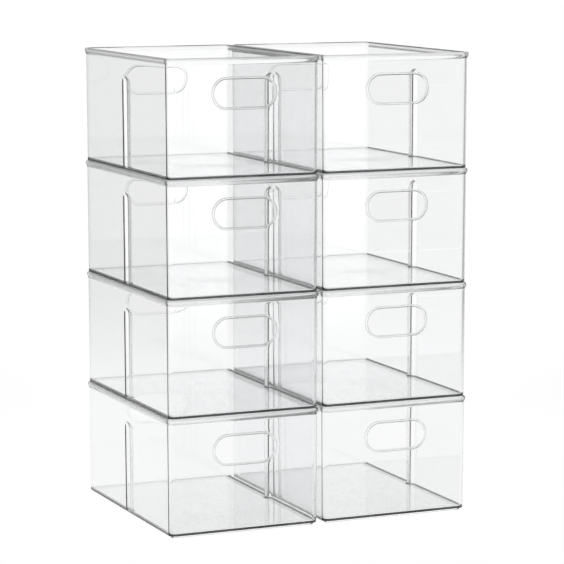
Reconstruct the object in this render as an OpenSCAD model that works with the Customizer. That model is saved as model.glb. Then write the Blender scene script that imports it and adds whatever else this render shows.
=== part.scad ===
// A stack of eight clear storage bins for shoes: two columns side by side, four bins high.
// Each bin is one open-top moulding with a rim, two handle slots, two side grooves and a foot.
// Frame: millimetres, +Z up. X is the short side of a bin, Y is the long side, front at -Y.
// Origin: on the ground, under the middle of the whole stack.

/* [Stack] */
// Distance from one bin's seat to the seat of the bin above it
pitch = 150; // [130:1:180]
// Gap between the two columns, measured between the bases
column_gap = 8.4; // [7:0.1:14]

/* [Bin] */
// Width of the base, outside
base_w = 203.5; // [180:0.5:230]
// Length of the base, outside
base_l = 307; // [280:0.5:340]
// Radius of the upright corners at the base
corner_r = 9; // [8:0.5:12]
// How far each wall leans outwards from base to rim
draft = 0.8; // [0.4:0.1:1.2]
// Thickness of the walls
wall = 2.4; // [2:0.1:3]
// Thickness of the floor
floor_t = 2.6; // [2:0.1:4]

/* [Rim] */
// Height of the thickened rim band
rim_h = 9; // [7:0.5:12]
// How far the rim stands proud of the wall
rim_out = 1.8; // [1:0.1:2.2]
// Height over which the rim swells out from the wall
rim_swell = 6; // [2:0.5:8]
// Bevel round the rim's top outer edge
rim_bevel = 0.7; // [0.4:0.1:0.9]

/* [Foot] */
// Depth of the foot ring below the seat
foot_h = 2.5; // [1.5:0.5:4]
// Distance from the edge of the base to the foot ring
foot_inset = 4; // [3.6:0.1:4.5]
// Width of the foot ring
foot_t = 3; // [2:0.5:3]

/* [Handle slots] */
// Width of a handle slot
slot_w = 82; // [70:1:110]
// Height of a handle slot
slot_h = 34.5; // [25:0.5:42]
// Distance from the top of the rim to the middle of a slot
slot_drop = 44.5; // [38:0.5:55]
// Width of the raised lip round a slot
lip_w = 3; // [2:0.5:5]
// How far the lip stands proud of the wall, inside and outside
lip_out = 1; // [0.5:0.1:1.2]

/* [Side grooves] */
// Radius of the half-round groove in the middle of each long wall
groove_r = 6.6; // [5:0.1:9]
// Distance from the top of the rim to the domed top of the groove's plastic
groove_drop = 30; // [16:1:60]

/* [Hidden] */
$fn = 64;
// Small overreach that lets a cut pass cleanly through a face
over = 1;
seat_z = foot_h;
rim_z = seat_z + pitch;
cavity_z = seat_z + floor_t;
column_x = (base_w + column_gap) / 2;
// Centre of the corner rounds, which is also half the straight length of each side
side_x = base_w / 2 - corner_r;
side_y = base_l / 2 - corner_r;
slot_z = rim_z - slot_drop;
groove_top_z = rim_z - groove_drop;

// How far the outer wall has leaned out at height z
function lean(z) = draft * (z - seat_z) / pitch;

// Section through a wall, with its share of the floor, the foot ring and the rim band.
// Its X runs outwards from the centre of the corner rounds, and its Y is the height.
module wall_section() {
    swell_z = rim_z - rim_h;
    full_z = swell_z + rim_swell;
    bevel_z = rim_z - rim_bevel;
    rim_r = corner_r + lean(full_z) + rim_out;
    foot_r = corner_r - foot_inset;
    polygon([
        [0, seat_z],
        [foot_r - foot_t, seat_z],
        [foot_r - foot_t, 0],
        [foot_r, 0],
        [foot_r, seat_z],
        [corner_r, seat_z],
        [corner_r + lean(swell_z), swell_z],
        [rim_r, full_z],
        [rim_r, bevel_z],
        [rim_r - rim_bevel, rim_z],
        [corner_r + lean(rim_z) - wall, rim_z],
        [corner_r + lean(cavity_z) - wall, cavity_z],
        [0, cavity_z]
    ]);
}

// Floor, walls, rim and foot ring: the section carried round four straights and four corners
module tub() {
    for (flip = [0, 1])
        mirror([flip, 0, 0])
            translate([side_x, side_y, 0])
                rotate([90, 0, 0])
                    linear_extrude(2 * side_y)
                        wall_section();
    for (flip = [0, 1])
        mirror([0, flip, 0])
            translate([-side_x, side_y, 0])
                rotate([90, 0, 90])
                    linear_extrude(2 * side_x)
                        wall_section();
    for (flip_x = [0, 1], flip_y = [0, 1])
        mirror([flip_x, 0, 0])
            mirror([0, flip_y, 0])
                translate([side_x, side_y, 0])
                    rotate_extrude(angle = 90)
                        wall_section();
    translate([-side_x, -side_y, seat_z])
        cube([2 * side_x, 2 * side_y, floor_t]);
}

// Upright rod with a domed top, from z_bottom up to z_top, carried round its axis by sweep degrees
module domed_rod(r, z_bottom, z_top, sweep) {
    rotate_extrude(angle = sweep)
        intersection() {
            union() {
                translate([0, z_top - r])
                    circle(r);
                translate([0, z_bottom])
                    square([r, z_top - r - z_bottom]);
            }
            translate([0, z_bottom])
                square([r, z_top - z_bottom]);
        }
}

// Places a groove's form on the outer face of the left wall, and turned round on the right wall
module on_both_sides() {
    for (turn = [0, 180])
        rotate([0, 0, turn])
            translate([-base_w / 2, 0, 0])
                rotate([0, 0, -90])
                    children();
}

// Plastic behind the grooves: half-round columns on the inside of the long walls
module groove_backs() {
    on_both_sides()
        domed_rod(groove_r + wall, seat_z, groove_top_z, 180);
}

// Hollow of the grooves, open to the outside and closed below by the floor
module groove_hollows() {
    on_both_sides()
        domed_rod(groove_r, cavity_z, groove_top_z - wall, 360);
}

// Stadium-shaped bar lying along Y through the middle of the slots, grown by grow all round
module slot_bar(grow, y_from, y_to) {
    half = (slot_w - slot_h) / 2;
    r = slot_h / 2 + grow;
    translate([0, y_to, slot_z])
        rotate([90, 0, 0]) {
            for (side = [-1, 1])
                translate([side * half, 0, 0])
                    cylinder(h = y_to - y_from, r = r);
            translate([-half, -r, 0])
                cube([2 * half, 2 * r, y_to - y_from]);
        }
}

// Raised lips round the slots in both short ends
module slot_lips() {
    outside = base_l / 2 + lean(slot_z) + lip_out;
    thickness = wall + 2 * lip_out;
    for (flip = [0, 1])
        mirror([0, flip, 0])
            slot_bar(lip_w, outside - thickness, outside);
}

// One bin, standing on the ground with its middle on the Z axis
module bin() {
    reach = base_l / 2 + rim_out + over;
    difference() {
        union() {
            tub();
            groove_backs();
            slot_lips();
        }
        groove_hollows();
        slot_bar(0, -reach, reach);
    }
}

// A bin in its place: side is -1 for the left column and 1 for the right, row 1 is the lowest
module placed_bin(side, row) {
    color("whitesmoke", 0.5)
        translate([side * column_x, 0, (row - 1) * pitch])
            bin();
}

module bin_left_1() { placed_bin(-1, 1); }
module bin_left_2() { placed_bin(-1, 2); }
module bin_left_3() { placed_bin(-1, 3); }
module bin_left_4() { placed_bin(-1, 4); }
module bin_right_1() { placed_bin(1, 1); }
module bin_right_2() { placed_bin(1, 2); }
module bin_right_3() { placed_bin(1, 3); }
module bin_right_4() { placed_bin(1, 4); }

bin_left_1();
bin_left_2();
bin_left_3();
bin_left_4();
bin_right_1();
bin_right_2();
bin_right_3();
bin_right_4();
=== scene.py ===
"""A stack of eight clear plastic shoe bins on a pale floor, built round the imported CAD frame."""
import math

import bmesh
import bpy
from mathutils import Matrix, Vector


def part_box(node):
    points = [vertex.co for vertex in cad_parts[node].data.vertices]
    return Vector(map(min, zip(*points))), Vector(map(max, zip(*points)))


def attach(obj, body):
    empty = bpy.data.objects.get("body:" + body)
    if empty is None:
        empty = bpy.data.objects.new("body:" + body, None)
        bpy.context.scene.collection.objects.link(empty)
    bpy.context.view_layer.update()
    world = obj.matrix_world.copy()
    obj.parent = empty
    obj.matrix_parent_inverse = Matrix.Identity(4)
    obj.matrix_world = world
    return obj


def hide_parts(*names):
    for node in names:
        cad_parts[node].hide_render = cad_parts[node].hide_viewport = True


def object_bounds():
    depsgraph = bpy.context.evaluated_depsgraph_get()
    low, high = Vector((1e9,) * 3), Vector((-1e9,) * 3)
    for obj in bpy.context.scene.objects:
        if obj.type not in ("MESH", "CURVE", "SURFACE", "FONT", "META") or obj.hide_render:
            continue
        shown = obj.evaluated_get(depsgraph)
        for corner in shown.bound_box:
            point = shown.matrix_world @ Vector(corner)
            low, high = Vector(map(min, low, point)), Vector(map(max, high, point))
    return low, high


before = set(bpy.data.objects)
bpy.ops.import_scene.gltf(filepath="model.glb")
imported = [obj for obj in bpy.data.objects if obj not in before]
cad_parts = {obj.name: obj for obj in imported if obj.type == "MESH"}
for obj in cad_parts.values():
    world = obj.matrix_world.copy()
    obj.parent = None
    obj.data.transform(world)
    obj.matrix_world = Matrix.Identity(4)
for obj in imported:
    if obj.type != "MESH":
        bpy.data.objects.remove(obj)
cad_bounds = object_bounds()

MM = 0.001

# One bin's details, in millimetres. Its outer size comes from the CAD node.
CORNER_R = 9.0
DRAFT = 0.8
WALL = 2.4
FLOOR_T = 2.6
PITCH = 150.0
RIM_H = 9.0
RIM_OUT = 1.8
RIM_SWELL = 6.0
FOOT_H = 2.5
FOOT_INSET = 4.0
FOOT_T = 3.0
SLOT_W = 82.0
SLOT_H = 34.5
SLOT_DROP = 44.5
LIP_W = 3.0
LIP_OUT = 1.0
GROOVE_R = 6.6
GROOVE_DROP = 30.0

# Rounding of the edges, in millimetres
FOOT_ROUND = 0.6
FOOT_FILLET = 0.4
BASE_ROUND = 0.9
RIM_ROUND_OUT = 2.8
RIM_ROUND_IN = 0.8
FLOOR_FILLET = 2.2
SLOT_ROUND = 1.8
LIP_ROUND = 0.6
LIP_FILLET = 0.35
GROOVE_ROUND = 2.5
GROOVE_FILLET = 2.0

# Air left between a seat and the rim below it, so that the two faces never coincide
SEAT_GAP = 0.15
RIM_GAP = 0.05

# Steps round the curves of the mesh, and the angle in degrees at which an edge is sharp
CORNER_STEPS = 9
SWELL_STEPS = 6
GROOVE_STEPS = 14
BEND_STEPS = 6
DOME_STEPS = 20
SLOT_STEPS = 24
SHARP = 50

# The plastic's surface tint and refraction, and the tint and density that grey light on its way through
PLASTIC_TINT = (0.985, 0.988, 0.99, 1)
PLASTIC_IOR = 1.5
DEPTH_TINT = (0.25, 0.27, 0.28, 1)
DEPTH_DENSITY = 11.5
# Waves in the plastic's surface: how many to a metre, how strong, and how deep in metres
WAVE_SCALE = 9.0
WAVE_STRENGTH = 0.3
WAVE_DEPTH = 0.001
# The film on the plastic: how many patches to a metre, its roughness, and the noise values where it grows
FILM_SCALE = 14.0
HAZE = 0.03
HAZE_START = 0.4
HAZE_FULL = 0.75
# Scuffs: how many to a metre, their roughness, the noise values where they grow, and the heights in metres
# over which they fade
SCUFF_SCALE = 260.0
SCUFF = 0.35
SCUFF_START = 0.45
SCUFF_FULL = 0.7
FOOT_SCUFF_LOW = 0.001
FOOT_SCUFF_HIGH = 0.004
RIM_SCUFF_LOW = 0.1505
RIM_SCUFF_HIGH = 0.1522
# Fine frosting that grows up the rim band: its heights in metres, and its roughness at the top
RIM_FROST_LOW = 0.1425
RIM_FROST_HIGH = 0.1515
RIM_FROST = 0.3

# The way from the stack to the backdrop, seen from above
BACKDROP = (0.4, 0.9165, 0.0)
# Where the light round the stack holds each brightness: 0 faces away from the backdrop, 1 towards it
FRONT_END = 0.2
SIDE_START = 0.36
SIDE_END = 0.64
CORNER_START = 0.8
CORNER_END = 0.89
BACK_START = 0.965
# The floor's size and how far it lies under the foot rings, in metres, and its grey in other light
FLOOR_SIZE = 80
FLOOR_DROP = 0.0003
FLOOR_GREY = (0.05, 0.05, 0.05, 1)
# Brightness of the floor near the stack, and further off: in front, at the sides, beside and at the backdrop
FLOOR_NEAR = 0.99
FLOOR_FRONT = 1.55
FLOOR_SIDE = 0.42
FLOOR_CORNER = 0.45
FLOOR_BACK = 1.01
# Radius of the evenly bright floor round the stack, and where it has faded into the rest, in metres
POOL_FULL = 0.7
POOL_END = 2.2
# Brightness of the light above the floor, near the horizon and overhead
AIR_FRONT = 1.05
AIR_SIDE = 0.6
AIR_BACK = 1.05
AIR_TOP = 0.1
# Height of a direction, 0 level and 1 upright, over which the horizon's light turns into the ceiling's
CEILING_START = 0.16
CEILING_FULL = 0.38

# The camera: how far round to the left and how far up, in degrees; its distance and the point it looks at,
# from the middle of the stack, in metres; its sensor and lens in millimetres
CAMERA_LEFT = 23.64
CAMERA_UP = 8.0
CAMERA_DISTANCE = 3.441
CAMERA_AIM = (0.0098, -0.0048, -0.006)
SENSOR = 36
LENS = 165.7
# How often light may bend or bounce: through every wall of the stack, and as a mirror image
BENDS = 48
MIRRORS = 24

SEAT_Z = FOOT_H
RIM_Z = SEAT_Z + PITCH
CAVITY_Z = SEAT_Z + FLOOR_T
SLOT_Z = RIM_Z - SLOT_DROP
# Centre of a groove's dome
DOME_Z = RIM_Z - GROOVE_DROP - GROOVE_R - WALL
# Flat panel of an end wall that holds the slot: half its width, and its lowest and highest point
PANEL_X = 50.0
PANEL_REACH = 25.0
PANEL_LOW = SLOT_Z - PANEL_REACH
PANEL_HIGH = SLOT_Z + PANEL_REACH
# Flat panel of a side wall that holds a groove's dome: half its width, and its highest point
DOME_Y = 13.0
DOME_HIGH = DOME_Z + DOME_Y
# Heights of the wall's level rows of vertices, between its foot and its rim
WALL_ROWS = [30.0, 56.0, PANEL_LOW, (PANEL_LOW + DOME_Z) / 2]
WALL_ROWS += [DOME_Z, DOME_Z + DOME_Y / 2, DOME_HIGH, PANEL_HIGH]
# Spacing of the vertices along the flat panels and along a slot's straight sides
PANEL_STEP = 12.5
SLOT_STEP = 12.0
# How far a guiding row lies inside the foot ring, above the floor's level, and below the rim's swell
FOOT_LEAD = 1.5
EDGE_STEP = 0.3
SWELL_LEAD = 4.0
# How close two lengths have to be to count as the same
SAME = 1e-3


def lean(z):
    """How far the outer wall has leaned out at height z."""
    return DRAFT * (z - SEAT_Z) / PITCH


def smooth_step(t):
    """0 to 1 with soft ends."""
    t = min(max(t, 0.0), 1.0)
    return t * t * (3 - 2 * t)


def arc(g, z, radius, start, end, steps):
    """Points of a profile arc round (g, z), from start to end in degrees."""
    out = []
    for i in range(steps + 1):
        a = math.radians(start + (end - start) * i / steps)
        out.append((g + radius * math.cos(a), z + radius * math.sin(a)))
    return out


def spaced(start, end, step):
    """Evenly spaced values from start to end, about step apart."""
    n = max(1, round(abs(end - start) / step))
    return [start + (end - start) * i / n for i in range(n + 1)]


def groove_section(radius, plane, fillet):
    """Half of a groove's level section, from its middle: (distance, depth, share of the wall's lean)."""
    slant = math.degrees(math.asin((plane + fillet) / (radius + fillet)))
    foot = math.sqrt((radius + fillet) ** 2 - (plane + fillet) ** 2)
    points = [(y, depth, 0.0) for y, depth in arc(0, 0, radius, 90, slant, GROOVE_STEPS)]
    bend = arc(foot, plane + fillet, fillet, 180 + slant, 270, BEND_STEPS)
    points += [(y, depth, (i + 1) / BEND_STEPS) for i, (y, depth) in enumerate(bend[1:])]
    return points


GROOVE_OUTER = groove_section(GROOVE_R, 0.0, GROOVE_ROUND)
GROOVE_INNER = groove_section(GROOVE_R + WALL, WALL, GROOVE_FILLET)


def stations(side_x, side_y):
    """Points round the bin, anticlockwise: (spine x, spine y, normal x, normal y, side, groove index)."""
    count = len(GROOVE_OUTER)
    in_groove = [(math.copysign(GROOVE_OUTER[abs(k)][0], k), k) for k in range(1 - count, count)]
    flat = [(y, None) for y in (DOME_Y, 0.3 * side_y, 0.65 * side_y, side_y)]
    along = [(-y, k) for y, k in reversed(flat)] + in_groove + flat
    across = [-side_x, -0.8 * side_x] + spaced(-PANEL_X, PANEL_X, PANEL_STEP) + [0.8 * side_x, side_x]
    out = []
    quarter = 0
    for nx, ny in ((1, 0), (0, 1), (-1, 0), (0, -1)):
        if nx:
            out += [(nx * side_x, nx * y, nx, 0, "side", k) for y, k in along]
            cx, cy = nx * side_x, nx * side_y
        else:
            out += [(-ny * x, ny * side_y, 0, ny, "end", None) for x in across]
            cx, cy = -ny * side_x, ny * side_y
        for i in range(1, CORNER_STEPS):
            a = math.radians(quarter + 90 * i / CORNER_STEPS)
            out.append((cx, cy, math.cos(a), math.sin(a), "corner", None))
        quarter += 90
    return out


def profile():
    """The bin's section as rings (outset, height, zone), from its underside, over the rim, to its inside."""
    rings = []

    def add(points, zone):
        for g, z in points:
            rings.append((g, z, zone))

    foot_in = -FOOT_INSET - FOOT_T
    seat = SEAT_Z + SEAT_GAP
    add([(foot_in - FOOT_LEAD, SEAT_Z)], "plain")
    add(arc(foot_in - FOOT_FILLET, SEAT_Z - FOOT_FILLET, FOOT_FILLET, 90, 0, 3), "plain")
    add(arc(foot_in + FOOT_ROUND, FOOT_ROUND, FOOT_ROUND, 180, 270, 4), "plain")
    add(arc(-FOOT_INSET - FOOT_ROUND, FOOT_ROUND, FOOT_ROUND, 270, 360, 4), "plain")
    add(arc(-FOOT_INSET + FOOT_FILLET, seat - FOOT_FILLET, FOOT_FILLET, 180, 90, 3), "plain")
    add(arc(-BASE_ROUND, seat + BASE_ROUND, BASE_ROUND, 270, 360, 6), "plain")
    add([(lean(CAVITY_Z), CAVITY_Z)], "plain")

    swell_z = RIM_Z - RIM_H
    add([(lean(z), z) for z in [CAVITY_Z + EDGE_STEP] + WALL_ROWS + [swell_z - SWELL_LEAD]], "outer")
    full_z = swell_z + RIM_SWELL
    for i in range(SWELL_STEPS + 1):
        z = swell_z + RIM_SWELL * i / SWELL_STEPS
        add([(lean(z) + RIM_OUT * smooth_step(i / SWELL_STEPS), z)], "plain")
    rim_g = lean(full_z) + RIM_OUT
    top = RIM_Z - RIM_GAP
    add(arc(rim_g - RIM_ROUND_OUT, top - RIM_ROUND_OUT, RIM_ROUND_OUT, 0, 90, 5), "plain")
    inner = lean(top) - WALL
    add(arc(inner + RIM_ROUND_IN, top - RIM_ROUND_IN, RIM_ROUND_IN, 90, 180, 4), "plain")

    add([(lean(z) - WALL, z) for z in reversed(WALL_ROWS + [swell_z])], "inner")
    foot_g = lean(CAVITY_Z) - WALL - FLOOR_FILLET
    add(arc(foot_g, CAVITY_Z + FLOOR_FILLET, FLOOR_FILLET, 360, 270, 5), "inner")
    return rings


def stadium(width, height):
    """Points round a slot's outline: (x, z, normal x, normal z)."""
    r = height / 2
    half = (width - height) / 2
    out = []
    for sign in (1, -1):
        for i in range(SLOT_STEPS + 1):
            a = math.radians(-90 + 180 * i / SLOT_STEPS)
            nx, nz = sign * math.cos(a), sign * math.sin(a)
            out.append((sign * half + r * nx, r * nz, nx, nz))
        for x in spaced(sign * half, -sign * half, SLOT_STEP)[1:-1]:
            out.append((x, sign * r, 0.0, float(sign)))
    return out


def slot_rings():
    """The rings over a slot's lip and through the slot: (outset in the wall, depth from the outer face)."""
    half = arc(LIP_W + LIP_FILLET, -LIP_FILLET, LIP_FILLET, 90, 180, 3)
    half += arc(LIP_W - LIP_ROUND, -LIP_OUT + LIP_ROUND, LIP_ROUND, 0, -90, 3)
    half += arc(SLOT_ROUND, -LIP_OUT + SLOT_ROUND, SLOT_ROUND, 270, 180, 4)
    return half + [(outset, WALL - depth) for outset, depth in reversed(half)]


def fill_panel(bm, edges, normal):
    """Fills a flat face with a hole in it."""
    bmesh.ops.triangle_fill(bm, use_beauty=True, edges=edges, normal=normal)


def loop_edges(bm, loop):
    """The edges of a closed loop of vertices."""
    return [bm.edges.get((a, b)) for a, b in zip(loop, loop[1:] + loop[:1])]


def add_slots(bm, open_edges, face_y):
    """The lip and the opening of the slot in each end wall, and the flat panels round them."""
    middle = face_y + lean(SLOT_Z) - WALL / 2
    for end in (-1, 1):
        loops = []
        for outset, depth in slot_rings():
            loop = []
            for x, z, nx, nz in stadium(SLOT_W, SLOT_H):
                height = SLOT_Z + z + nz * outset
                y = end * (face_y + lean(height) - depth)
                loop.append(bm.verts.new((x + nx * outset, y, height)))
            loops.append(loop)
        points = len(loops[0])
        for a, b in zip(loops, loops[1:]):
            for i in range(points):
                k = (i + 1) % points
                bm.faces.new((a[i], a[k], b[k], b[i]))
        for loop, outside in ((loops[0], True), (loops[-1], False)):
            border = []
            for e in open_edges:
                y = end * (e.verts[0].co.y + e.verts[1].co.y) / 2
                if y > 0.9 * face_y and (y > middle) == outside:
                    border.append(e)
            fill_panel(bm, border + loop_edges(bm, loop), Vector((0, end if outside else -end, 0)))


def add_domes(bm, row_ends, face_x):
    """The domed top of each groove, on the outer and inner face of both side walls, in its flat panel."""
    for (side, section), (row, border) in row_ends.items():
        points = GROOVE_OUTER if section == "outer" else GROOVE_INNER
        last = len(points) - 1
        middle = row[last]
        turn = 1 if row[-1].co.y > 0 else -1
        spokes = [[row[last + k] for k in range(last + 1)]]
        for i in range(1, DOME_STEPS):
            a = math.pi * i / DOME_STEPS
            spoke = [middle]
            for y, depth, share in points[1:]:
                z = DOME_Z + y * math.sin(a)
                x = side * (face_x - depth + lean(z) * share)
                spoke.append(bm.verts.new((x, turn * y * math.cos(a), z)))
            spokes.append(spoke)
        spokes.append([row[last - k] for k in range(last + 1)])
        for a, b in zip(spokes, spokes[1:]):
            bm.faces.new((middle, a[1], b[1]))
            for k in range(1, last):
                bm.faces.new((a[k], a[k + 1], b[k + 1], b[k]))
        rim = [bm.edges.get((a[last], b[last])) for a, b in zip(spokes, spokes[1:])]
        normal = side if section == "outer" else -side
        fill_panel(bm, border + rim, Vector((normal, 0, 0)))


def bin_mesh(size):
    """One bin's mesh, its middle on the Z axis and its foot at height 0."""
    full_g = lean(RIM_Z - RIM_H + RIM_SWELL) + RIM_OUT
    side_x = size.x / MM / 2 - full_g - CORNER_R
    side_y = size.y / MM / 2 - full_g - CORNER_R
    around = stations(side_x, side_y)
    rings = profile()
    bm = bmesh.new()
    grid = []
    for g, z, zone in rings:
        row = []
        for cx, cy, nx, ny, side, k in around:
            reach = CORNER_R + g
            if k is not None and zone != "plain":
                y, depth, share = (GROOVE_INNER if zone == "inner" else GROOVE_OUTER)[abs(k)]
                cy = nx * math.copysign(y, k)
                if z <= DOME_Z + SAME:
                    plane = WALL if zone == "inner" else 0.0
                    reach += plane - depth - lean(max(z, CAVITY_Z)) * (1 - share)
            row.append(bm.verts.new((cx + nx * reach, cy + ny * reach, z)))
        grid.append(row)
    count = len(around)

    def in_panel(i, j):
        """Whether the face above ring i and beside station j belongs to a flat panel."""
        if rings[i][2] != rings[i + 1][2] or rings[i][2] == "plain":
            return False
        z_low, z_high = sorted((rings[i][1], rings[i + 1][1]))
        a, b = around[j], around[(j + 1) % count]
        if a[4] == "end" and b[4] == "end":
            within = max(abs(a[0]), abs(b[0])) <= PANEL_X + SAME
            return within and z_low >= PANEL_LOW - SAME and z_high <= PANEL_HIGH + SAME
        if a[4] == "side" and b[4] == "side":
            within = max(abs(a[1]), abs(b[1])) <= DOME_Y + SAME
            return within and z_low >= DOME_Z - SAME and z_high <= DOME_HIGH + SAME
        return False

    for i in range(len(rings) - 1):
        for j in range(count):
            if not in_panel(i, j):
                k = (j + 1) % count
                bm.faces.new((grid[i][j], grid[i][k], grid[i + 1][k], grid[i + 1][j]))
    bm.faces.new(reversed(grid[0]))
    bm.faces.new(grid[-1])
    open_edges = [e for e in bm.edges if len(e.link_faces) == 1]
    dome_rows = {}
    for row, (g, z, zone) in zip(grid, rings):
        if abs(z - DOME_Z) < SAME:
            for side in (-1, 1):
                inside = [v for v, s in zip(row, around) if s[5] is not None and s[2] == side]
                border = []
                for e in open_edges:
                    point = (e.verts[0].co + e.verts[1].co) / 2
                    on_wall = abs(point.x - side * (side_x + CORNER_R + g)) < WALL / 2
                    in_reach = abs(point.y) < DOME_Y + SAME
                    if on_wall and in_reach and not (e.verts[0] in inside and e.verts[1] in inside):
                        border.append(e)
                dome_rows[(side, zone)] = (inside, border)
    add_slots(bm, open_edges, side_y + CORNER_R)
    add_domes(bm, dome_rows, side_x + CORNER_R)
    bmesh.ops.delete(bm, geom=[v for v in bm.verts if not v.link_faces], context="VERTS")
    bmesh.ops.recalc_face_normals(bm, faces=bm.faces)
    loose = [e for e in bm.edges if len(e.link_faces) != 2]
    if loose:
        raise RuntimeError(f"the bin's mesh is open at {len(loose)} edges")
    bmesh.ops.scale(bm, vec=(MM, MM, MM), verts=bm.verts)
    for face in bm.faces:
        face.smooth = True
    for edge in bm.edges:
        edge.smooth = edge.calc_face_angle(0.0) < math.radians(SHARP)
    mesh = bpy.data.meshes.new("bin")
    bm.to_mesh(mesh)
    bm.free()
    return mesh


def add_node(nodes, kind, **settings):
    """A node with some of its settings changed."""
    node = nodes.new(kind)
    for name, value in settings.items():
        setattr(node, name, value)
    return node


def span(nodes, links, value, low, high, out_low, out_high):
    """A value carried smoothly from the range low..high to the range out_low..out_high."""
    node = add_node(nodes, "ShaderNodeMapRange", interpolation_type="SMOOTHSTEP")
    limits = {"From Min": low, "From Max": high, "To Min": out_low, "To Max": out_high}
    for name, limit in limits.items():
        node.inputs[name].default_value = limit
    links.new(value, node.inputs["Value"])
    return node.outputs["Result"]


def combine(nodes, links, operation, a, b):
    """Two values put together."""
    node = add_node(nodes, "ShaderNodeMath", operation=operation)
    links.new(a, node.inputs[0])
    links.new(b, node.inputs[1])
    return node.outputs[0]


def clear_plastic():
    """Clear moulded plastic: faint waves and film, a frosted rim, and scuffs at the foot and the rim."""
    mat = bpy.data.materials.new("clear_plastic")
    mat.use_nodes = True
    nodes, links = mat.node_tree.nodes, mat.node_tree.links
    shader = nodes["Principled BSDF"]
    shader.inputs["Base Color"].default_value = PLASTIC_TINT
    shader.inputs["Transmission Weight"].default_value = 1.0
    shader.inputs["IOR"].default_value = PLASTIC_IOR
    place = nodes.new("ShaderNodeTexCoord").outputs["Object"]

    waves = nodes.new("ShaderNodeTexNoise")
    waves.inputs["Scale"].default_value = WAVE_SCALE
    waves.inputs["Detail"].default_value = 1.0
    links.new(place, waves.inputs["Vector"])
    bump = nodes.new("ShaderNodeBump")
    bump.inputs["Strength"].default_value = WAVE_STRENGTH
    bump.inputs["Distance"].default_value = WAVE_DEPTH
    links.new(waves.outputs["Fac"], bump.inputs["Height"])
    links.new(bump.outputs["Normal"], shader.inputs["Normal"])

    parts = nodes.new("ShaderNodeSeparateXYZ")
    links.new(place, parts.inputs[0])
    at_foot = span(nodes, links, parts.outputs["Z"], FOOT_SCUFF_LOW, FOOT_SCUFF_HIGH, 1.0, 0.0)
    at_rim = span(nodes, links, parts.outputs["Z"], RIM_SCUFF_LOW, RIM_SCUFF_HIGH, 0.0, 1.0)
    rubbed = combine(nodes, links, "MAXIMUM", at_foot, at_rim)
    grain = nodes.new("ShaderNodeTexNoise")
    grain.inputs["Scale"].default_value = SCUFF_SCALE
    grain.inputs["Detail"].default_value = 3.0
    links.new(place, grain.inputs["Vector"])
    specks = span(nodes, links, grain.outputs["Fac"], SCUFF_START, SCUFF_FULL, 0.0, SCUFF)
    scuffs = combine(nodes, links, "MULTIPLY", specks, rubbed)
    frosted = span(nodes, links, parts.outputs["Z"], RIM_FROST_LOW, RIM_FROST_HIGH, 0.0, RIM_FROST)
    worn = combine(nodes, links, "MAXIMUM", scuffs, frosted)
    film = nodes.new("ShaderNodeTexNoise")
    film.inputs["Scale"].default_value = FILM_SCALE
    film.inputs["Detail"].default_value = 2.0
    links.new(place, film.inputs["Vector"])
    haze = span(nodes, links, film.outputs["Fac"], HAZE_START, HAZE_FULL, 0.0, HAZE)
    links.new(combine(nodes, links, "MAXIMUM", worn, haze), shader.inputs["Roughness"])

    absorb = nodes.new("ShaderNodeVolumeAbsorption")
    absorb.inputs["Color"].default_value = DEPTH_TINT
    absorb.inputs["Density"].default_value = DEPTH_DENSITY
    links.new(absorb.outputs["Volume"], nodes["Material Output"].inputs["Volume"])
    return mat


def build_bins():
    """A finished bin in place of each CAD bin."""
    mat = clear_plastic()
    low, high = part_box("bin_left_1")
    mesh = bin_mesh(high - low)
    mesh.materials.append(mat)
    for name in sorted(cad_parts):
        low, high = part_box(name)
        piece = bpy.data.objects.new(name.replace("bin_", "clear_bin_"), mesh.copy())
        piece.location = ((low.x + high.x) / 2, (low.y + high.y) / 2, low.z)
        bpy.context.scene.collection.objects.link(piece)
        flats = piece.modifiers.new("flats", "WEIGHTED_NORMAL")
        flats.keep_sharp = True
        flats.weight = 100
        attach(piece, name)
        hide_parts(name)


def ring_light(nodes, links, direction, front, side, corner, back):
    """Grey light that changes with the direction it comes from, seen from above."""
    level = add_node(nodes, "ShaderNodeVectorMath", operation="MULTIPLY")
    level.inputs[1].default_value = (1, 1, 0)
    links.new(direction, level.inputs[0])
    unit = add_node(nodes, "ShaderNodeVectorMath", operation="NORMALIZE")
    links.new(level.outputs[0], unit.inputs[0])
    facing = add_node(nodes, "ShaderNodeVectorMath", operation="DOT_PRODUCT")
    facing.inputs[1].default_value = BACKDROP
    links.new(unit.outputs[0], facing.inputs[0])
    share = nodes.new("ShaderNodeMapRange")
    share.inputs["From Min"].default_value = -1
    links.new(facing.outputs["Value"], share.inputs["Value"])
    tone = nodes.new("ShaderNodeValToRGB")
    ramp = tone.color_ramp
    ramp.interpolation = "EASE"
    places = (FRONT_END, SIDE_START, SIDE_END, CORNER_START, CORNER_END, BACK_START)
    stops = list(zip(places, (front, side, side, corner, corner, back)))
    while len(ramp.elements) < len(stops):
        ramp.elements.new(0.5)
    for stop, (position, grey) in zip(ramp.elements, stops):
        stop.position = position
        stop.color = (grey, grey, grey, 1)
    links.new(share.outputs["Result"], tone.inputs["Fac"])
    return tone.outputs["Color"]


def blend(nodes, links, share, a, grey):
    """A colour faded to a grey by a share."""
    mix = add_node(nodes, "ShaderNodeMix", data_type="RGBA")
    links.new(share, mix.inputs[0])
    links.new(a, mix.inputs[6])
    mix.inputs[7].default_value = (grey, grey, grey, 1)
    return mix.outputs[2]


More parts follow.
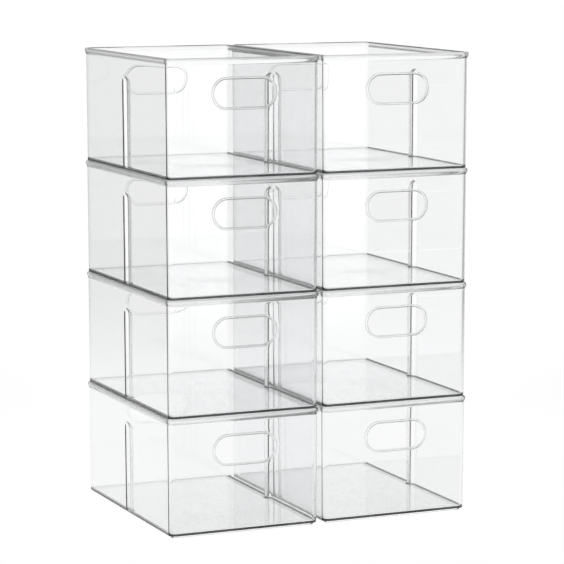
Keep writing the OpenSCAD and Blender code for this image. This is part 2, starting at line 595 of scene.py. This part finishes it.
def build_floor():
    """A pale floor just under the foot rings, lit from within so that the bins throw hardly any shadow."""
    bpy.ops.mesh.primitive_plane_add(size=FLOOR_SIZE, location=(0, 0, -FLOOR_DROP))
    floor = bpy.context.object
    floor.name = "floor"
    mat = bpy.data.materials.new("floor")
    mat.use_nodes = True
    nodes, links = mat.node_tree.nodes, mat.node_tree.links
    shader = nodes["Principled BSDF"]
    shader.inputs["Base Color"].default_value = FLOOR_GREY
    shader.inputs["Roughness"].default_value = 1.0
    shader.inputs["Specular IOR Level"].default_value = 0.0
    place = nodes.new("ShaderNodeTexCoord").outputs["Object"]
    around = ring_light(nodes, links, place, FLOOR_FRONT, FLOOR_SIDE, FLOOR_CORNER, FLOOR_BACK)
    far = add_node(nodes, "ShaderNodeVectorMath", operation="LENGTH")
    links.new(place, far.inputs[0])
    near = span(nodes, links, far.outputs["Value"], POOL_FULL, POOL_END, 1.0, 0.0)
    links.new(blend(nodes, links, near, around, FLOOR_NEAR), shader.inputs["Emission Color"])
    shader.inputs["Emission Strength"].default_value = 1
    floor.data.materials.append(mat)


def build_world():
    """Soft studio light: a bright ring near the horizon under a dim ceiling."""
    world = bpy.data.worlds.new("studio")
    bpy.context.scene.world = world
    world.use_nodes = True
    nodes, links = world.node_tree.nodes, world.node_tree.links
    back = nodes["Background"]
    place = nodes.new("ShaderNodeTexCoord").outputs["Generated"]
    around = ring_light(nodes, links, place, AIR_FRONT, AIR_SIDE, AIR_SIDE, AIR_BACK)
    parts = nodes.new("ShaderNodeSeparateXYZ")
    links.new(place, parts.inputs[0])
    overhead = span(nodes, links, parts.outputs["Z"], CEILING_START, CEILING_FULL, 0.0, 1.0)
    links.new(blend(nodes, links, overhead, around, AIR_TOP), back.inputs["Color"])
    back.inputs["Strength"].default_value = 1


def build_camera():
    """The camera, in front of the stack on its left and a little above it."""
    low, high = cad_bounds
    aim = (low + high) / 2 + Vector(CAMERA_AIM)
    azimuth = math.radians(CAMERA_LEFT)
    elevation = math.radians(CAMERA_UP)
    away = Vector((
        -math.sin(azimuth) * math.cos(elevation),
        -math.cos(azimuth) * math.cos(elevation),
        math.sin(elevation),
    ))
    data = bpy.data.cameras.new("camera")
    data.sensor_width = SENSOR
    data.lens = LENS
    camera = bpy.data.objects.new("camera", data)
    camera.location = aim + away * CAMERA_DISTANCE
    camera.rotation_euler = (-away).to_track_quat("-Z", "Y").to_euler()
    bpy.context.scene.collection.objects.link(camera)
    bpy.context.scene.camera = camera


def light_paths():
    """Enough bounces for light to pass through every wall of the stack."""
    cycles = bpy.context.scene.cycles
    cycles.max_bounces = BENDS
    cycles.transmission_bounces = BENDS
    cycles.glossy_bounces = MIRRORS
    bpy.context.scene.view_settings.view_transform = "Standard"


build_camera()
build_floor()
build_world()
build_bins()
light_paths()
